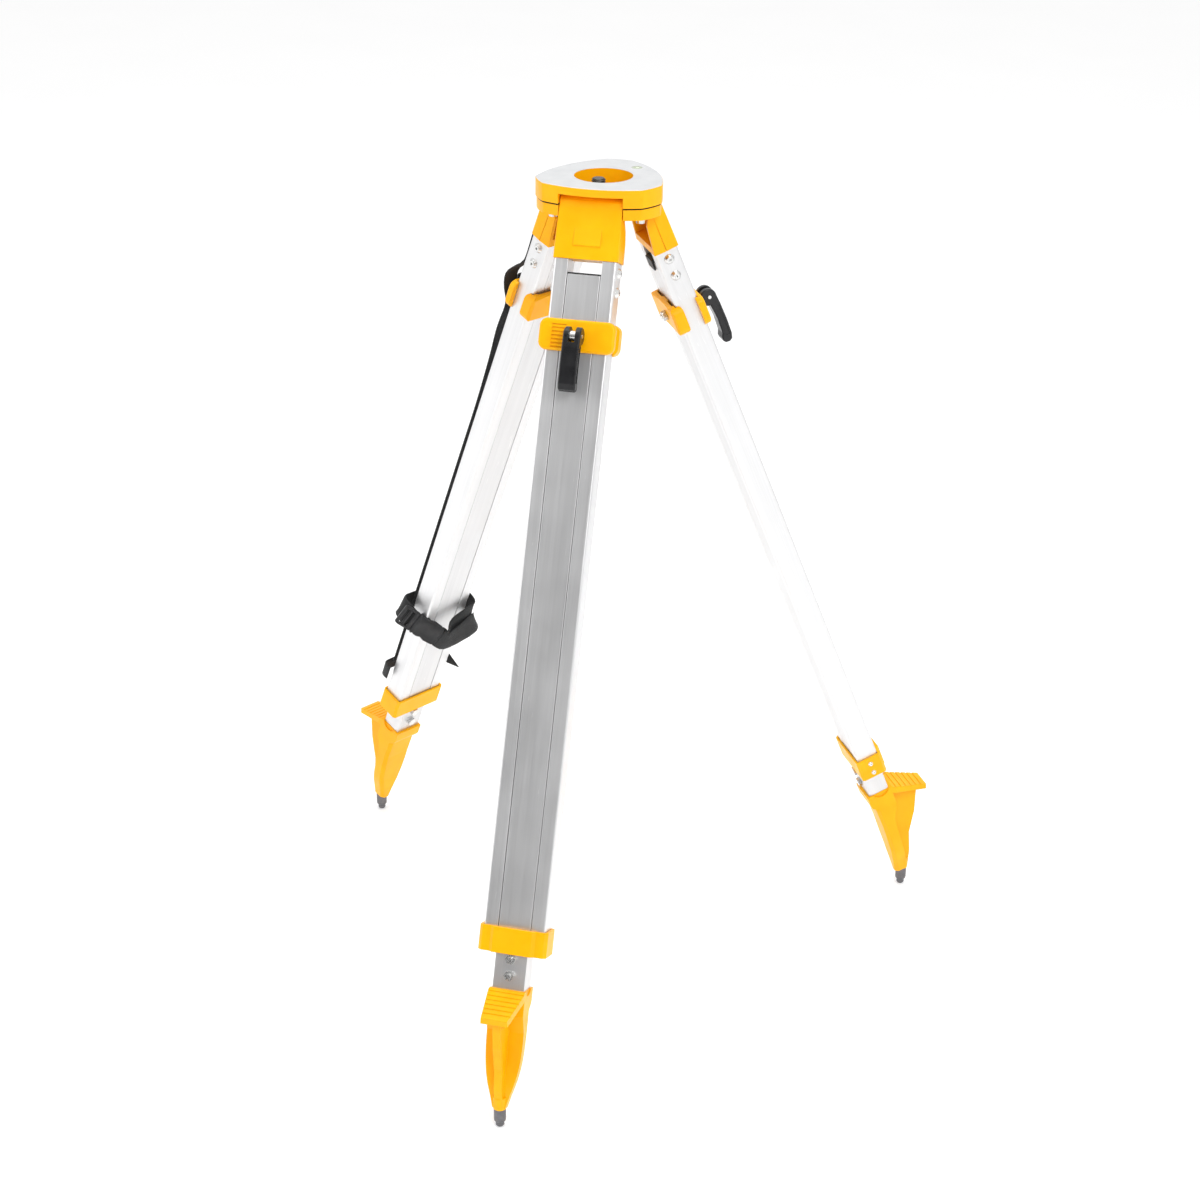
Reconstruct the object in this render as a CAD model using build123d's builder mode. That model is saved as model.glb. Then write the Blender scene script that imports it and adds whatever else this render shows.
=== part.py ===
from build123d import *
import math
import os

os.makedirs("parts", exist_ok=True)

# Surveyor tripod. Row frame: Z up, origin at the centre of the head's flat top, front leg towards -Y.
# A leg is drawn hanging straight down from its hinge axis, with X across the leg and -Y outwards.
# In that drawing a height z is minus the station measured down the leg from the hinge.

HINGE_DROP = 20.4
HINGE_RADIUS = 44.0
SPLAY = 22.6
LEGS = {"front": 0.0, "right": 120.0, "left": 240.0}

# Head: a circle cut by one long shallow arc at each leg.
HEAD_R = 74.0
SIDE_R = 130.0
SIDE_DISTANCE = 61.5
HEAD_CORNER_R = 6.0
RING_INSET = 1.2
CASTING_T = 20.1
RING_GAP = 1.2
RING_T = 12.0
HOLE_R = 32.2
SLOT_HALF = 35.7
SLOT_TOP_DROP = 8.8
SLOT_BACK_R = 35.3
HINGE_PIN_R = 4.0
HINGE_PIN_HALF = 42.0
BARREL_R = 8.0
BARREL_HALF = 35.0
RUN_CLEARANCE = 0.05
VIAL_R = 7.0
VIAL_DEPTH = 7.5
VIAL_AT = (26.6, 43.4)

# Fixing screw, 5/8 inch, drawn at its thread's full diameter, on a swinging arm under the head.
STUD_R = 15.875 / 2
STUD_TIP_DROP = 3.2
ARM_PIVOT_Y = 56.0
ARM_REST = -5.9
ARM_T = 3.0
ARM_HALF = 12.0
SHANK_R = 6.0
KNOB_R = 16.0

# Leg section: two box rails with the sliding tube flush between them.
LEG_MID = 5.8
LEG_DEPTH = 27.2
LEG_HALF = 34.6
RAIL_IN = 18.8
RAIL_TOP = 60.7
RAIL_END = 806.0
WALL = 1.6
TUBE_HALF = 18.1
TUBE_DEPTH = 26.8
TUBE_TOP = 76.6
TUBE_END = 870.0
FRONT_Y = LEG_MID - LEG_DEPTH / 2
REAR_Y = LEG_MID + LEG_DEPTH / 2

# Hinge bracket.
BRACKET_END = 60.5
BRACKET_HALF = 37.2
PRONG_END = 102.0
SCREW_STATIONS = (71.1, 91.7)
SCREW_R = 3.0

# Clamp that rides on the sliding tube.
CLAMP_TOP = 125.0
CLAMP_END = 159.5
CLAMP_HALF = 42.0
CLAMP_BACK_HALF = 41.0
CLAMP_AXIS = 143.4
CLAMP_FACE_Y = -12.7
BOLT_R = 3.0
LEVER_PIN_Y = -24.9
LEVER_PIN_R = 2.0
LEVER_HALF = 9.6
FORK_HALF = 3.6
CAM_R = 9.8
CAM_Y = -23.4

# Collar at the foot of the rails.
COLLAR_TOP = 784.6
COLLAR_END = 812.8
COLLAR_HALF = 38.4
RIVET_STATIONS = (792.8, 806.2)

# Foot and point. The point stands upright when the leg is at its rest splay.
FOOT_TOP = 852.0
FOOT_BOLT_STATIONS = (818.3, 836.6)
TIP_STATION = 1009.0
TIP_Y = 20.7
POINT_L = 24.0
POINT_R = 6.9

NODES = []


def keep(part, name):
    """Label one finished piece and write its file."""
    part.label = name
    export_step(part, f"parts/{name}.step")
    NODES.append(name)


def place(part, turn):
    """Swing a hanging leg piece out to its rest splay and round to its own side of the head."""
    out = Location((0, 0, 0), (-SPLAY, 0, 0)) * part
    out = Location((0, -HINGE_RADIUS, -HINGE_DROP)) * out
    return Location((0, 0, 0), (0, 0, turn)) * out


def keep_on_legs(part, name):
    """Write one copy of a leg piece for each of the three legs."""
    for leg, turn in LEGS.items():
        keep(place(part, turn), f"{name}_{leg}")


def block(x0, x1, y0, y1, top, end, mode=Mode.ADD):
    """Box on a hanging leg between two stations."""
    with Locations(((x0 + x1) / 2, (y0 + y1) / 2, -(top + end) / 2)):
        Box(x1 - x0, y1 - y0, end - top, mode=mode)


def side_prism(points, half, mode=Mode.ADD, start=0.0):
    """Extrude a side profile of (y, station) points across the leg."""
    with BuildSketch(Plane.YZ.offset(start)) as profile:
        with BuildLine():
            Polyline(*[(y, -s) for y, s in points], close=True)
        make_face()
    extrude(profile.sketch, amount=half, both=True, mode=mode)


def cross_bore(station, y, radius, half, mode=Mode.SUBTRACT):
    """Round bore or bar across the leg, along X."""
    with Locations(Location((0, y, -station), (0, 90, 0))):
        Cylinder(radius, 2 * half, mode=mode)


def through_bore(x, station, radius, y0, y1, mode=Mode.SUBTRACT):
    """Round bore or bar from front to rear, along Y."""
    with Locations(Location((x, (y0 + y1) / 2, -station), (90, 0, 0))):
        Cylinder(radius, y1 - y0, mode=mode)


def head_outline(inset=0.0):
    """Circle with one shallow side arc for each leg."""
    Circle(HEAD_R - inset)
    for turn in LEGS.values():
        angle = math.radians(turn + 90)
        reach = SIDE_R - SIDE_DISTANCE
        with Locations((reach * math.cos(angle), reach * math.sin(angle))):
            Circle(SIDE_R - inset, mode=Mode.INTERSECT)


def leg_slots(top_z, end_z):
    """Cut the three openings that the leg brackets swing in."""
    for turn in LEGS.values():
        angle = math.radians(turn - 90)
        reach = SLOT_BACK_R + 30
        spot = (reach * math.cos(angle), reach * math.sin(angle), (top_z + end_z) / 2)
        with Locations(Location(spot, (0, 0, turn))):
            Box(2 * SLOT_HALF, 60, top_z - end_z, mode=Mode.SUBTRACT)


def pin_seats():
    """Cut the seats of the three hinge pins."""
    for turn in LEGS.values():
        angle = math.radians(turn - 90)
        spot = (HINGE_RADIUS * math.cos(angle), HINGE_RADIUS * math.sin(angle), -HINGE_DROP)
        with Locations(Location(spot, (0, 0, turn)) * Location((0, 0, 0), (0, 90, 0))):
            Cylinder(HINGE_PIN_R + 0.02, 2 * HINGE_PIN_HALF + 0.6, mode=Mode.SUBTRACT)


# Ring screws stand in the three lobes between the legs, and the rear one carries the arm.
LOBE_R = 56.0
LOBES = [(LOBE_R * math.cos(math.radians(a)), LOBE_R * math.sin(math.radians(a))) for a in (90, 210, 330)]
RING_TOP_Z = -CASTING_T - RING_GAP
RING_END_Z = RING_TOP_Z - RING_T
ARM_TOP_Z = RING_END_Z - 0.35

with BuildPart() as head_casting:
    with BuildSketch() as plan:
        head_outline()
        fillet(plan.vertices(), HEAD_CORNER_R)
    extrude(amount=-CASTING_T)
    leg_slots(-SLOT_TOP_DROP, -CASTING_T - 1)
    chamfer(head_casting.edges().group_by(Axis.Z)[-1], 0.6)
    Hole(HOLE_R)
    pin_seats()
    with Locations((VIAL_AT[0], VIAL_AT[1], -VIAL_DEPTH / 2)):
        Cylinder(VIAL_R + 0.05, VIAL_DEPTH, mode=Mode.SUBTRACT)
    with Locations(*[(x, y, -CASTING_T + 5) for x, y in LOBES]):
        Cylinder(2.55, 10, mode=Mode.SUBTRACT)

with BuildPart() as hinge_ring:
    with BuildSketch(Plane.XY.offset(RING_TOP_Z)) as plan:
        head_outline(RING_INSET)
        fillet(plan.vertices(), HEAD_CORNER_R)
        Circle(HOLE_R + 0.6, mode=Mode.SUBTRACT)
    extrude(amount=-RING_T)
    leg_slots(RING_TOP_Z + 1, RING_END_Z - 1)
    pin_seats()
    with Locations(*[(x, y, (RING_TOP_Z + RING_END_Z) / 2) for x, y in LOBES]):
        Cylinder(2.6, RING_T + 2, mode=Mode.SUBTRACT)

with BuildPart() as ring_screws:
    with Locations(*[(x, y, 0) for x, y in LOBES]):
        with Locations((0, 0, (-CASTING_T + 8 + ARM_TOP_Z - ARM_T - 0.6) / 2)):
            Cylinder(2.5, -CASTING_T + 8 - (ARM_TOP_Z - ARM_T - 0.6))
        with Locations((0, 0, ARM_TOP_Z - ARM_T - 0.6 - 2)):
            Cylinder(5.0, 4.0)
        with Locations((0, 0, ARM_TOP_Z - ARM_T - 0.6 - 4)):
            Cylinder(2.2, 3.0, mode=Mode.SUBTRACT)
    with Locations(*[(x, y, (RING_END_Z + ARM_TOP_Z - ARM_T - 0.6) / 2) for x, y in LOBES[1:]]):
        Cylinder(4.6, RING_END_Z - (ARM_TOP_Z - ARM_T - 0.6))

with BuildPart() as hinge_pins:
    for turn in LEGS.values():
        angle = math.radians(turn - 90)
        spot = (HINGE_RADIUS * math.cos(angle), HINGE_RADIUS * math.sin(angle), -HINGE_DROP)
        with Locations(Location(spot, (0, 0, turn)) * Location((0, 0, 0), (0, 90, 0))):
            Cylinder(HINGE_PIN_R, 2 * HINGE_PIN_HALF)

with BuildPart() as level_vial:
    with Locations((VIAL_AT[0], VIAL_AT[1], -VIAL_DEPTH / 2)):
        Cylinder(VIAL_R, VIAL_DEPTH)
    with Locations((VIAL_AT[0], VIAL_AT[1], -0.5)):
        Cylinder(VIAL_R - 1.4, 1.0, mode=Mode.SUBTRACT)
        Cylinder(VIAL_R - 1.6, 0.6)

keep(head_casting.part, "head_casting")
keep(hinge_ring.part, "hinge_ring")
keep(ring_screws.part, "ring_screws")
keep(hinge_pins.part, "hinge_pins")
keep(level_vial.part, "level_vial")

# The arm is drawn straight along Y from its pivot and then swung to its rest angle.
with BuildPart() as screw_arm:
    with BuildSketch(Plane.XY.offset(ARM_TOP_Z)):
        with Locations((0, ARM_PIVOT_Y / 2 - 11)):
            SlotOverall(ARM_PIVOT_Y + 46, 2 * ARM_HALF, rotation=90)
        SlotOverall(36, 16.3, rotation=90, mode=Mode.SUBTRACT)
        with Locations((0, ARM_PIVOT_Y)):
            Circle(2.55, mode=Mode.SUBTRACT)
    extrude(amount=-ARM_T)

with BuildPart() as screw_bush:
    with Locations((0, 0, ARM_TOP_Z + 0.4 + 1.2)):
        Cylinder(12.5, 2.4)
    with Locations((0, 0, ARM_TOP_Z - ARM_T / 2)):
        Cylinder(8.1, ARM_T + 1.0)
    with Locations((0, 0, ARM_TOP_Z - ARM_T - 0.4 - 1.8)):
        Cylinder(13.0, 3.6)
    with Locations((0, 0, ARM_TOP_Z)):
        Cylinder(SHANK_R + RUN_CLEARANCE, 30, mode=Mode.SUBTRACT)

BUSH_TOP_Z = ARM_TOP_Z + 2.8
BUSH_END_Z = ARM_TOP_Z - ARM_T - 4.0
STUD_FOOT_Z = BUSH_TOP_Z + 5.0
STUD_TIP_Z = -STUD_TIP_DROP

with BuildPart() as fixing_screw:
    with BuildSketch(Plane.XZ):
        with BuildLine():
            edge = [(0, BUSH_END_Z - 22), (SHANK_R, BUSH_END_Z - 22), (SHANK_R, BUSH_TOP_Z + 0.4)]
            edge += [(10.0, BUSH_TOP_Z + 0.4), (10.0, STUD_FOOT_Z), (STUD_R, STUD_FOOT_Z)]
            edge += [(STUD_R, STUD_TIP_Z - 1.4), (STUD_R - 1.8, STUD_TIP_Z), (0, STUD_TIP_Z)]
            Polyline(*edge, close=True)
        make_face()
    revolve(axis=Axis.Z)

with BuildPart() as screw_knob:
    with BuildSketch(Plane.XY.offset(BUSH_END_Z - 0.5)):
        Circle(KNOB_R)
        with PolarLocations(KNOB_R + 2.4, 6):
            Circle(5.0, mode=Mode.SUBTRACT)
    extrude(amount=-24.0)
    fillet(screw_knob.edges().group_by(Axis.Z)[0], 1.5)
    with Locations((0, 0, BUSH_END_Z - 0.5 - 11)):
        Cylinder(SHANK_R + 0.01, 22.0, mode=Mode.SUBTRACT)

arm_swing = Location((0, ARM_PIVOT_Y, 0), (0, 0, ARM_REST)) * Location((0, -ARM_PIVOT_Y, 0))
keep(arm_swing * screw_arm.part, "screw_arm")
keep(arm_swing * screw_bush.part, "screw_bush")
keep(arm_swing * fixing_screw.part, "fixing_screw")
keep(arm_swing * screw_knob.part, "screw_knob")

# Hinge bracket: barrel, front plate, cheeks with a mould seam on the leg's mid plane, prongs into the rails.
with BuildPart() as bracket:
    profile = [(-8.0, 0), (-8.5, 6), (-9.3, BRACKET_END), (19.9, BRACKET_END), (15.6, 25.5)]
    profile += [(8.2, 13.5), (7.8, 3.0)]
    side_prism(profile, BRACKET_HALF)
    cross_bore(0, 0, BARREL_R, BARREL_HALF, Mode.ADD)
    with BuildSketch(Plane.XY.offset(12)):
        with BuildLine():
            Polyline((-34.2, -10.5), (34.2, -10.5), (36.0, -7.4), (BRACKET_HALF, LEG_MID), (35.6, 21),
                     (-35.6, 21), (-BRACKET_HALF, LEG_MID), (-36.0, -7.4), close=True)
        make_face()
    extrude(amount=-80, mode=Mode.INTERSECT)
    with BuildSketch(Plane.XZ.offset(-40)):
        with BuildLine():
            Polyline((-34.7, 12), (34.7, 12), (34.7, -16), (BRACKET_HALF, -BRACKET_END),
                     (-BRACKET_HALF, -BRACKET_END), (-34.7, -16), close=True)
        make_face()
    extrude(amount=80, mode=Mode.INTERSECT)
    side_prism([(-6.0, 11), (-6.3, 52), (24, 52), (24, 11)], 31.4, Mode.SUBTRACT)
    side_prism([(-8.6, 25), (-10.9, 44.8), (-10.6, 46.0), (-9.0, 46.4)], 15.0)
    for side in (-1, 1):
        seam = side * (BRACKET_HALF + 0.8)
        block(seam - 3.2, seam + 3.2, LEG_MID - 0.3, LEG_MID + 0.3, 12, BRACKET_END + 1, Mode.SUBTRACT)
    for side in (-1, 1):
        mid = side * (LEG_HALF + RAIL_IN) / 2
        half = (LEG_HALF - RAIL_IN) / 2 - WALL - 0.1
        block(mid - half, mid + half, FRONT_Y + WALL + 0.1, REAR_Y - WALL - 0.1, BRACKET_END, PRONG_END)
    cross_bore(0, 0, HINGE_PIN_R + RUN_CLEARANCE, 60)
    for station in SCREW_STATIONS:
        cross_bore(station, LEG_MID, SCREW_R + 0.03, 60)
keep_on_legs(bracket.part, "hinge_bracket")


def rail(side):
    """Box rail with rounded outer corners and screw holes in its outer wall."""
    mid = side * (LEG_HALF + RAIL_IN) / 2
    width = LEG_HALF - RAIL_IN
    with BuildPart() as body:
        block(mid - width / 2, mid + width / 2, FRONT_Y, REAR_Y, RAIL_TOP, RAIL_END)
        outer = body.edges().filter_by(Axis.Z).sort_by(Axis.X)
        fillet(outer[-2:] if side > 0 else outer[:2], 2.6)
        fillet(body.edges().filter_by(Axis.Z).sort_by(Axis.X, reverse=side < 0)[:2], 0.6)
        block(mid - width / 2 + WALL, mid + width / 2 - WALL, FRONT_Y + WALL, REAR_Y - WALL,
              RAIL_TOP - 1, RAIL_END + 1, Mode.SUBTRACT)
        for station in SCREW_STATIONS:
            with Locations(Location((side * LEG_HALF, LEG_MID, -station), (0, 90, 0))):
                Cylinder(SCREW_R + 0.05, 6, mode=Mode.SUBTRACT)
        if side < 0:
            with Locations(Location((side * LEG_HALF, LEG_MID, -RIVET_STATIONS[0]), (0, 90, 0))):
                Cylinder(1.65, 8, mode=Mode.SUBTRACT)
    return body.part


keep_on_legs(rail(-1), "rail_a")
keep_on_legs(rail(1), "rail_b")

with BuildPart() as rail_screws:
    for side in (-1, 1):
        for station in SCREW_STATIONS:
            with Locations(Location((side * (LEG_HALF - 5), LEG_MID, -station), (0, 90, 0))):
                Cylinder(SCREW_R, 12)
            with Locations(Location((side * (LEG_HALF + 0.02), LEG_MID, -station), (0, 90 * side, 0))):
                Cone(5.9, 3.4, 3.2, align=(Align.CENTER, Align.CENTER, Align.MIN))
            with Locations(Location((side * (LEG_HALF + 2.6), LEG_MID, -station), (0, 90, 0))):
                Cylinder(1.5, 2.4, mode=Mode.SUBTRACT)
keep_on_legs(rail_screws.part, "rail_screws")

# Collar: a band round both rails with a raised panel on the front and a slot for the sliding tube.
with BuildPart() as collar:
    with BuildSketch(Plane.XY.offset(-COLLAR_TOP)):
        with BuildLine():
            Polyline((-COLLAR_HALF, -7.4), (-COLLAR_HALF + 3.6, -10.9), (-25.5, -10.9), (-21.5, -14.2),
                     (21.5, -14.2), (25.5, -10.9), (COLLAR_HALF - 3.6, -10.9), (COLLAR_HALF, -7.4),
                     (COLLAR_HALF, REAR_Y + 0.2), (COLLAR_HALF - 2.4, REAR_Y + 3.0),
                     (-COLLAR_HALF + 2.4, REAR_Y + 3.0), (-COLLAR_HALF, REAR_Y + 0.2), close=True)
        make_face()
    extrude(amount=-(COLLAR_END - COLLAR_TOP))
    fillet(collar.edges().group_by(Axis.Z)[-1], 0.7)
    fillet(collar.edges().group_by(Axis.Z)[0], 0.7)
    block(-LEG_HALF - 0.4, LEG_HALF + 0.4, FRONT_Y - 0.4, REAR_Y + 0.4, COLLAR_TOP - 1, COLLAR_END - 3.5,
          Mode.SUBTRACT)
    block(-TUBE_HALF - 0.45, TUBE_HALF + 0.45, LEG_MID - TUBE_DEPTH / 2 - 0.5, LEG_MID + TUBE_DEPTH / 2 + 0.5,
          COLLAR_TOP, COLLAR_END + 1, Mode.SUBTRACT)
    with Locations(*[Location((-COLLAR_HALF, LEG_MID, -s), (0, 90, 0)) for s in RIVET_STATIONS]):
        Cylinder(1.65, 12, mode=Mode.SUBTRACT)
keep_on_legs(collar.part, "collar")

with BuildPart() as collar_rivets:
    for station, depth in zip(RIVET_STATIONS, (5.0, 3.0)):
        with Locations(Location((-COLLAR_HALF, LEG_MID, -station), (0, -90, 0))):
            Cylinder(1.6, depth, align=(Align.CENTER, Align.CENTER, Align.MAX))
            Cone(3.2, 2.2, 1.3, align=(Align.CENTER, Align.CENTER, Align.MIN))
        with Locations(Location((-COLLAR_HALF - 1.3, LEG_MID, -station), (0, 90, 0))):
            Cylinder(0.9, 1.2, mode=Mode.SUBTRACT)
keep_on_legs(collar_rivets.part, "collar_rivets")

# Sliding tube, its end cap and the clamp on it.
with BuildPart() as inner_tube:
    block(-TUBE_HALF, TUBE_HALF, LEG_MID - TUBE_DEPTH / 2, LEG_MID + TUBE_DEPTH / 2, TUBE_TOP, TUBE_END)
    fillet(inner_tube.edges().filter_by(Axis.Z), 0.8)
    block(-TUBE_HALF + WALL, TUBE_HALF - WALL, LEG_MID - TUBE_DEPTH / 2 + WALL,
          LEG_MID + TUBE_DEPTH / 2 - WALL, TUBE_TOP - 1, TUBE_END + 1, Mode.SUBTRACT)
    through_bore(0, CLAMP_AXIS, BOLT_R + 0.05, -40, 60)
    for station in FOOT_BOLT_STATIONS:
        through_bore(0, station, BOLT_R + 0.05, -40, 60)
keep_on_legs(inner_tube.part, "inner_tube")

with BuildPart() as end_cap:
    block(-TUBE_HALF, TUBE_HALF, LEG_MID - TUBE_DEPTH / 2, LEG_MID + TUBE_DEPTH / 2, TUBE_TOP - 1.8, TUBE_TOP)
    fillet(end_cap.edges().filter_by(Axis.Z), 0.8)
    block(-11.0, 11.0, LEG_MID + TUBE_DEPTH / 2 - 1.2, REAR_Y + 2.2, TUBE_TOP - 4.0, TUBE_TOP)
    block(-11.0, 11.0, REAR_Y + 0.4, REAR_Y + 2.2, TUBE_TOP - 1, TUBE_TOP + 9)
    block(-TUBE_HALF + WALL + 0.1, TUBE_HALF - WALL - 0.1, LEG_MID - TUBE_DEPTH / 2 + WALL + 0.1,
          LEG_MID + TUBE_DEPTH / 2 - WALL - 0.1, TUBE_TOP - 1, TUBE_TOP + 16)
    block(-TUBE_HALF + 4, TUBE_HALF - 4, LEG_MID - TUBE_DEPTH / 2 + 4, LEG_MID + TUBE_DEPTH / 2 - 4,
          TUBE_TOP + 1, TUBE_TOP + 17, Mode.SUBTRACT)
keep_on_legs(end_cap.part, "end_cap")

with BuildPart() as clamp_front:
    with BuildSketch(Plane.XZ.offset(4.4)):
        with Locations((0, -(CLAMP_TOP + CLAMP_END) / 2)):
            RectangleRounded(2 * CLAMP_HALF, CLAMP_END - CLAMP_TOP, 9.0)
    extrude(amount=-CLAMP_FACE_Y - 4.4)
    fillet(clamp_front.edges().group_by(Axis.Y)[0], 3.0)
    block(-LEG_HALF - 0.5, LEG_HALF + 0.5, FRONT_Y - 0.4, 0, CLAMP_TOP - 2, CLAMP_END + 2, Mode.SUBTRACT)
    block(-27.5, -11.5, CLAMP_FACE_Y - 0.1, CLAMP_FACE_Y + 0.9, 131.0, 156.5, Mode.SUBTRACT)
    for i in range(6):
        top = 132.2 + 4.1 * i
        block(-27.6, -11.4, CLAMP_FACE_Y, CLAMP_FACE_Y + 1.4, top, top + 2.2)
    through_bore(0, CLAMP_AXIS, BOLT_R + 0.06, -40, 60)
keep_on_legs(clamp_front.part, "clamp_front")

with BuildPart() as clamp_rear:
    ear = [(-CLAMP_BACK_HALF, 25.6), (-CLAMP_BACK_HALF, 13.4), (-LEG_HALF - 0.5, 13.4)]
    ear += [(-LEG_HALF - 0.5, REAR_Y + 0.4), (-LEG_HALF + 4, REAR_Y + 0.4), (-LEG_HALF + 6.5, REAR_Y + 2.4)]
    back = [(37.0, 27.6), (12.0, 26.2), (-12.0, 26.2), (-37.0, 27.6)]
    pad = [(-9.0, REAR_Y + 2.4), (-8.0, REAR_Y + 0.4), (8.0, REAR_Y + 0.4), (9.0, REAR_Y + 2.4)]
    outline = ear + pad + [(-x, y) for x, y in reversed(ear)] + back
    with BuildSketch(Plane.XY.offset(-CLAMP_TOP)):
        with BuildLine():
            Polyline(*outline, close=True)
        make_face()
    extrude(amount=-(CLAMP_END - CLAMP_TOP))
    with BuildSketch(Plane.XZ.offset(-40)):
        with Locations((0, -(CLAMP_TOP + CLAMP_END) / 2)):
            RectangleRounded(2 * CLAMP_BACK_HALF, CLAMP_END - CLAMP_TOP, 9.5)
    extrude(amount=40, mode=Mode.INTERSECT)
    with BuildSketch(Plane.YZ.offset(-50)):
        with Locations((20.5, -(CLAMP_TOP + CLAMP_END) / 2)):
            RectangleRounded(14.4, CLAMP_END - CLAMP_TOP, 5.5)
    extrude(amount=100, mode=Mode.INTERSECT)
    through_bore(0, CLAMP_AXIS, BOLT_R + 0.06, -40, 60)
keep_on_legs(clamp_rear.part, "clamp_rear")

# Clamp bolt with an eye for the lever's pin at the front and a hexagon nut at the rear.
with BuildPart() as clamp_bolt:
    through_bore(0, CLAMP_AXIS, BOLT_R, LEVER_PIN_Y + 2, 33.5, Mode.ADD)
    cross_bore(CLAMP_AXIS, LEVER_PIN_Y, 5.6, FORK_HALF - 0.4, Mode.ADD)
    cross_bore(CLAMP_AXIS, LEVER_PIN_Y, LEVER_PIN_R + 0.03, 20)
    with BuildSketch(Plane.XZ.offset(-26.6)):
        with Locations((0, -CLAMP_AXIS)):
            RegularPolygon(5.77, 6)
    extrude(amount=-5.0)
keep_on_legs(clamp_bolt.part, "clamp_bolt")

with BuildPart() as clamp_lever:
    arm = [(LEVER_PIN_Y + 3.6, CLAMP_AXIS), (-23.0, 156), (-24.6, 172), (-23.8, 190), (-21.4, 196)]
    arm += [(-21.6, 199.5), (-24.0, 202.4), (-28.6, 203.2), (-32.2, 201.0), (-34.0, 195.0), (-34.6, 176.0)]
    arm += [(-34.0, 156.0), (-33.0, CLAMP_AXIS)]
    side_prism(arm, LEVER_HALF)
    cross_bore(CLAMP_AXIS, CAM_Y, CAM_R, LEVER_HALF, Mode.ADD)
    sides = clamp_lever.faces().filter_by(Axis.X)
    chamfer(sides.edges(), 1.2)
    block(-FORK_HALF, FORK_HALF, -60, 0, 120, 150.5, Mode.SUBTRACT)
    for side in (-1, 1):
        block(side * LEVER_HALF - 0.9, side * LEVER_HALF + 0.9, -31.6, -26.6, 156, 194, Mode.SUBTRACT)
    cross_bore(CLAMP_AXIS, LEVER_PIN_Y, LEVER_PIN_R + 0.01, 20)
keep_on_legs(clamp_lever.part, "clamp_lever")

with BuildPart() as lever_pin:
    cross_bore(CLAMP_AXIS, LEVER_PIN_Y, LEVER_PIN_R, LEVER_HALF + 0.5, Mode.ADD)
keep_on_legs(lever_pin.part, "lever_pin")

# Foot: socket with scooped sides, step tread, ogive back and a central rib down to the point.
up_y = -math.sin(math.radians(SPLAY))
up_z = math.cos(math.radians(SPLAY))
point_base = (0, TIP_Y + POINT_L * up_y, -TIP_STATION + POINT_L * up_z)
point_plane = Plane(origin=point_base, x_dir=(1, 0, 0), z_dir=(0, up_y, up_z))

with BuildPart() as foot:
    with BuildSketch(Plane.XZ.offset(-30)):
        with BuildLine():
            right = [(20.4, -FOOT_TOP), (20.8, -892), (20.3, -924), (15.6, -957), (11.0, -973), (7.4, -987)]
            Spline(*right)
            Line(right[-1], (-right[-1][0], right[-1][1]))
            Spline(*[(-x, z) for x, z in reversed(right)])
            Line((-right[0][0], right[0][1]), right[0])
        make_face()
    extrude(amount=60)
    back = [(22.6, FOOT_TOP), (22.4, 866), (21.2, 870), (17.8, 873), (17.2, 905), (19.0, 950), (22.0, 987)]
    front = [(6.5, 987), (3.0, 962), (2.0, 930), (0.0, 900), (-9.9, 880), (-9.9, FOOT_TOP)]
    side_prism(back + front, 40, Mode.INTERSECT)
    flank = foot.edges().filter_by(lambda e: e.center().Y > 14 and abs(e.center().X) > 9)
    chamfer(flank.filter_by(lambda e: e.center().Z < -874), 4.0)
    side_prism([(-9.0, 862), (-43.0, 883), (-30.2, 913), (-13.6, 940), (-5.4, 966), (4.6, 987), (12, 987),
                (12, 870)], 4.6)
    tread = [(-9.0, FOOT_TOP + 0.5), (-12.0, FOOT_TOP + 0.5), (-55.2, 876.0), (-53.0, 882.5), (-9.0, 861)]
    side_prism(tread, 20.4)
    with BuildSketch(Plane.XZ.offset(-30)):
        with BuildLine():
            Polyline((-21, -840), (21, -840), (21, -1000), (-21, -1000), close=True)
        make_face()
    extrude(amount=100, mode=Mode.INTERSECT)
    for side in (-1, 1):
        with BuildSketch(Plane.XY.offset(-840)):
            with BuildLine():
                Polyline((side * 20.6, -14), (side * 14.6, -56), (side * 30, -56), (side * 30, -14),
                         close=True)
            make_face()
        extrude(amount=-60, mode=Mode.SUBTRACT)
    with Locations(point_plane):
        Cylinder(7.6, 15.0, align=(Align.CENTER, Align.CENTER, Align.MIN))
    for side in (-1, 1):
        with Locations(Location((side * 20.5, LEG_MID - 2, -FOOT_TOP + 5), (0, 90, 0))):
            Cylinder(11.6, 3.4, mode=Mode.SUBTRACT)
    for i in range(6):
        run = 16 + 6.4 * i
        with Locations(Location((0, -run, -(FOOT_TOP + 0.5 + (run - 12) * 0.545)), (28.6, 0, 0))):
            Box(60, 2.2, 1.6, mode=Mode.SUBTRACT)
    block(-TUBE_HALF - 0.1, TUBE_HALF + 0.1, LEG_MID - TUBE_DEPTH / 2 - 0.1, LEG_MID + TUBE_DEPTH / 2 + 0.1,
          FOOT_TOP - 8, TUBE_END + 0.3, Mode.SUBTRACT)
    with Locations(point_plane):
        Cylinder(4.02, 12.0, align=(Align.CENTER, Align.CENTER, Align.MIN), mode=Mode.SUBTRACT)
        Cylinder(POINT_R + 0.02, 30.0, align=(Align.CENTER, Align.CENTER, Align.MAX), mode=Mode.SUBTRACT)
keep_on_legs(foot.part, "foot")

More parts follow.
